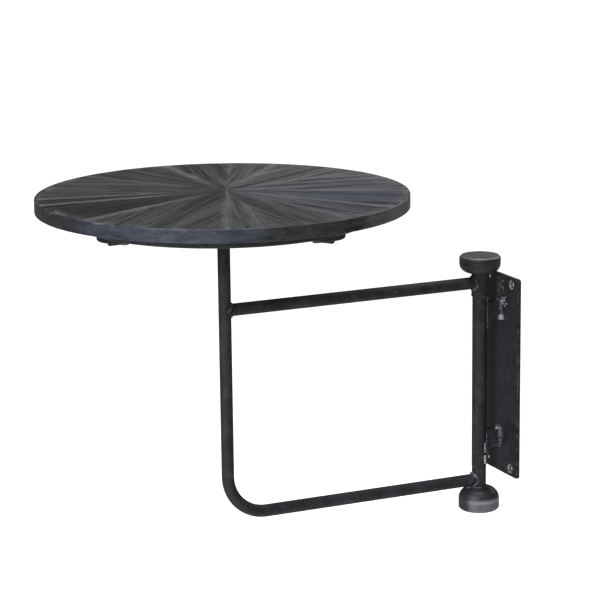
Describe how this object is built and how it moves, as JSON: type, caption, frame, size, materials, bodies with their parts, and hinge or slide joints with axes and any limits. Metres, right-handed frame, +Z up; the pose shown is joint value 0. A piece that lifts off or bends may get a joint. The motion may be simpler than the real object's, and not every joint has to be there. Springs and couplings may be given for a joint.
{
  "type": "wall table",
  "caption": "Small round wall table with a sunburst wooden top on a swinging iron arm, hinged to a flat wall plate with countersunk screw holes.",
  "frame": {"origin": "centre of the wall plate's back face, on the wall", "axes": "+Z up, +Y into the wall, the room towards -Y; at rest the arm points straight out along -Y"},
  "size_m": [0.3999, 0.5413, 0.394],
  "materials": {
    "black_iron": "black satin paint",
    "knob_iron": "worn gunmetal",
    "band_iron": "matt, scuffed",
    "steel": "plain",
    "stave_wood": "charcoal stain, matt",
    "dark_stave_wood": "charcoal stain, matt",
    "base_wood": "dark stain, matt"
  },
  "bodies": {
    "wall_bracket": {"wall_plate": "black_iron", "upper_standoff": "black_iron", "lower_standoff": "black_iron", "hinge_sleeve": "black_iron"},
    "swing_arm": {"hinge_pin": "steel", "upper_collar": "black_iron", "lower_collar": "black_iron", "top_knob": "knob_iron", "bottom_knob": "knob_iron", "post_bar": "black_iron", "upper_bar": "black_iron", "spider_hub": "black_iron", "spider_arm_01": "black_iron", "spider_arm_02": "black_iron", "spider_arm_03": "black_iron", "spider_screws": "steel", "base_board": "base_wood", "rim_band": "band_iron", "stave_01": "stave_wood", "stave_02": "stave_wood", "stave_03": "stave_wood", "stave_04": "stave_wood", "stave_05": "stave_wood", "stave_06": "stave_wood", "stave_07": "stave_wood", "stave_08": "dark_stave_wood", "stave_09": "stave_wood", "stave_10": "stave_wood", "stave_11": "stave_wood", "stave_12": "stave_wood", "stave_13": "stave_wood"}
  },
  "joints": [
    {"name": "arm_swing", "type": "hinge", "parent": "wall_bracket", "child": "swing_arm", "pos_m": [0, -0.029, -0.0075], "axis": [0, 0, 1], "range_deg": [-56, 56]}
  ]
}
